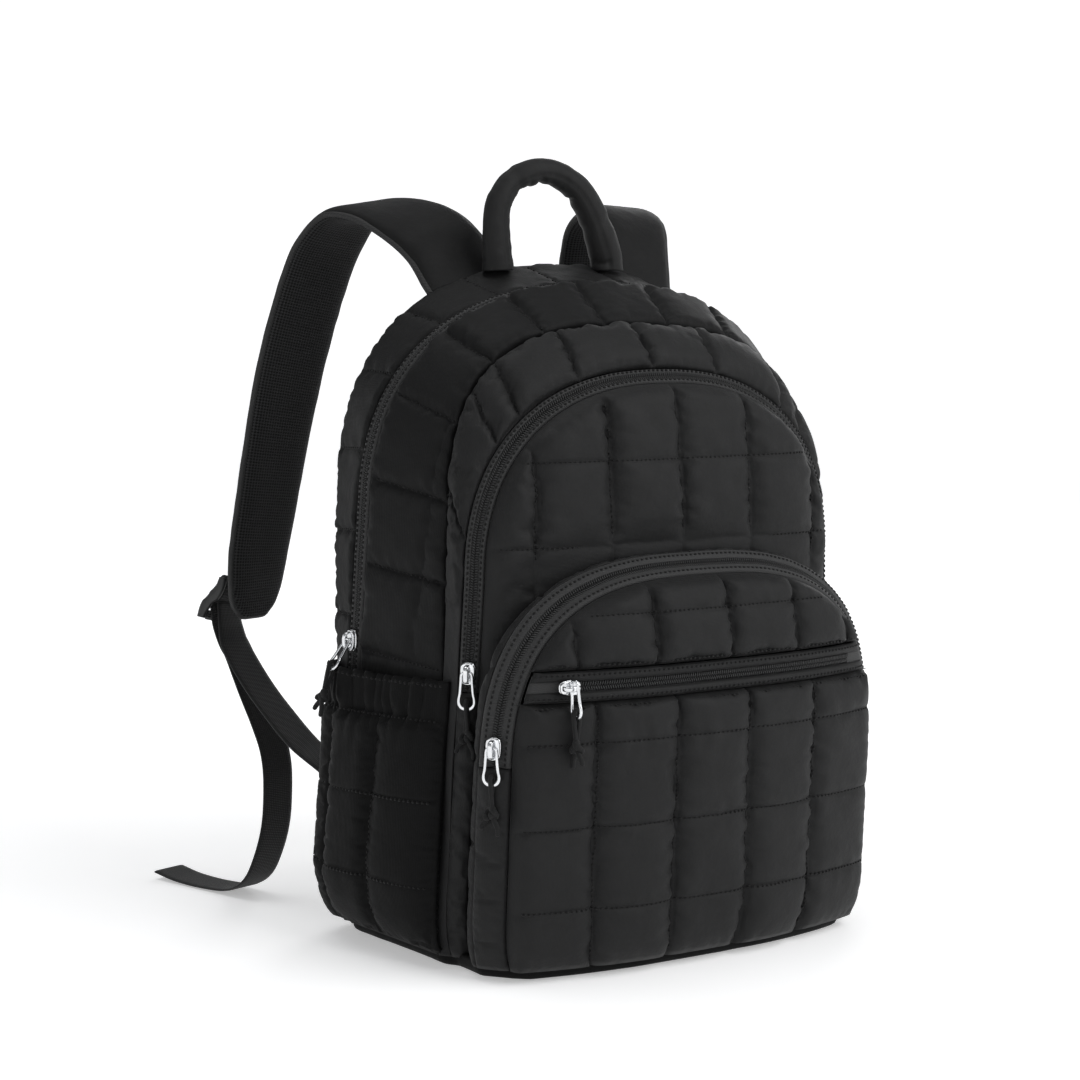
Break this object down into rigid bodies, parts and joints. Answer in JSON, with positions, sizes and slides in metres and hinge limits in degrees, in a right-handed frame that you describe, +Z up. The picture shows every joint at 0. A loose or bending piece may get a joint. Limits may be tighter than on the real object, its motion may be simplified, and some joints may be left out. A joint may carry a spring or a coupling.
{
  "type": "backpack",
  "caption": "Quilted fabric backpack with an arched zip compartment, stepped front pockets, elastic side pockets, padded straps, a carry handle and adjustable webbing.",
  "frame": {"origin": "middle of the flat underside of the base, on the floor", "axes": "+Z up, -Y towards the front pockets, +Y towards the back panel and the straps, +X to the right when the front is seen"},
  "size_m": [0.3669, 0.3879, 0.4799],
  "materials": {
    "nylon": "satin quilted nylon",
    "zip_tape": "woven tape over a coil zip",
    "air_mesh": "padded spacer mesh with nylon on the outside",
    "webbing": "ribbed woven webbing",
    "metal_pull": "polished",
    "pull_cord": "braided cord",
    "lock_plastic": "satin"
  },
  "bodies": {
    "root": {"back_panel": "nylon", "base": "nylon", "carry_handle": "nylon", "front_cord": "pull_cord", "front_gusset": "nylon", "front_panel": "nylon", "front_puller": "metal_pull", "front_slider": "metal_pull", "front_zip": "zip_tape", "ladder_lock_left": "lock_plastic", "ladder_lock_right": "lock_plastic", "lock_tab_left": "webbing", "lock_tab_right": "webbing", "lower_cord": "pull_cord", "lower_edge_left": "nylon", "lower_edge_right": "nylon", "lower_gusset": "nylon", "lower_panel": "nylon", "lower_panel_top": "nylon", "lower_puller": "metal_pull", "lower_slider": "metal_pull", "lower_webbing_left": "webbing", "lower_webbing_right": "webbing", "lower_zip": "zip_tape", "main_cord": "pull_cord", "main_puller": "metal_pull", "main_slider": "metal_pull", "main_zip": "zip_tape", "middle_cord": "pull_cord", "middle_gusset_left": "nylon", "middle_gusset_right": "nylon", "middle_panel": "nylon", "middle_puller": "metal_pull", "middle_slider": "metal_pull", "middle_zip": "zip_tape", "rear_gusset": "nylon", "side_pocket_left": "nylon", "side_pocket_right": "nylon", "strap_left": "air_mesh", "strap_right": "air_mesh", "webbing_tail_left": "webbing", "webbing_tail_right": "webbing"}
  },
  "joints": []
}
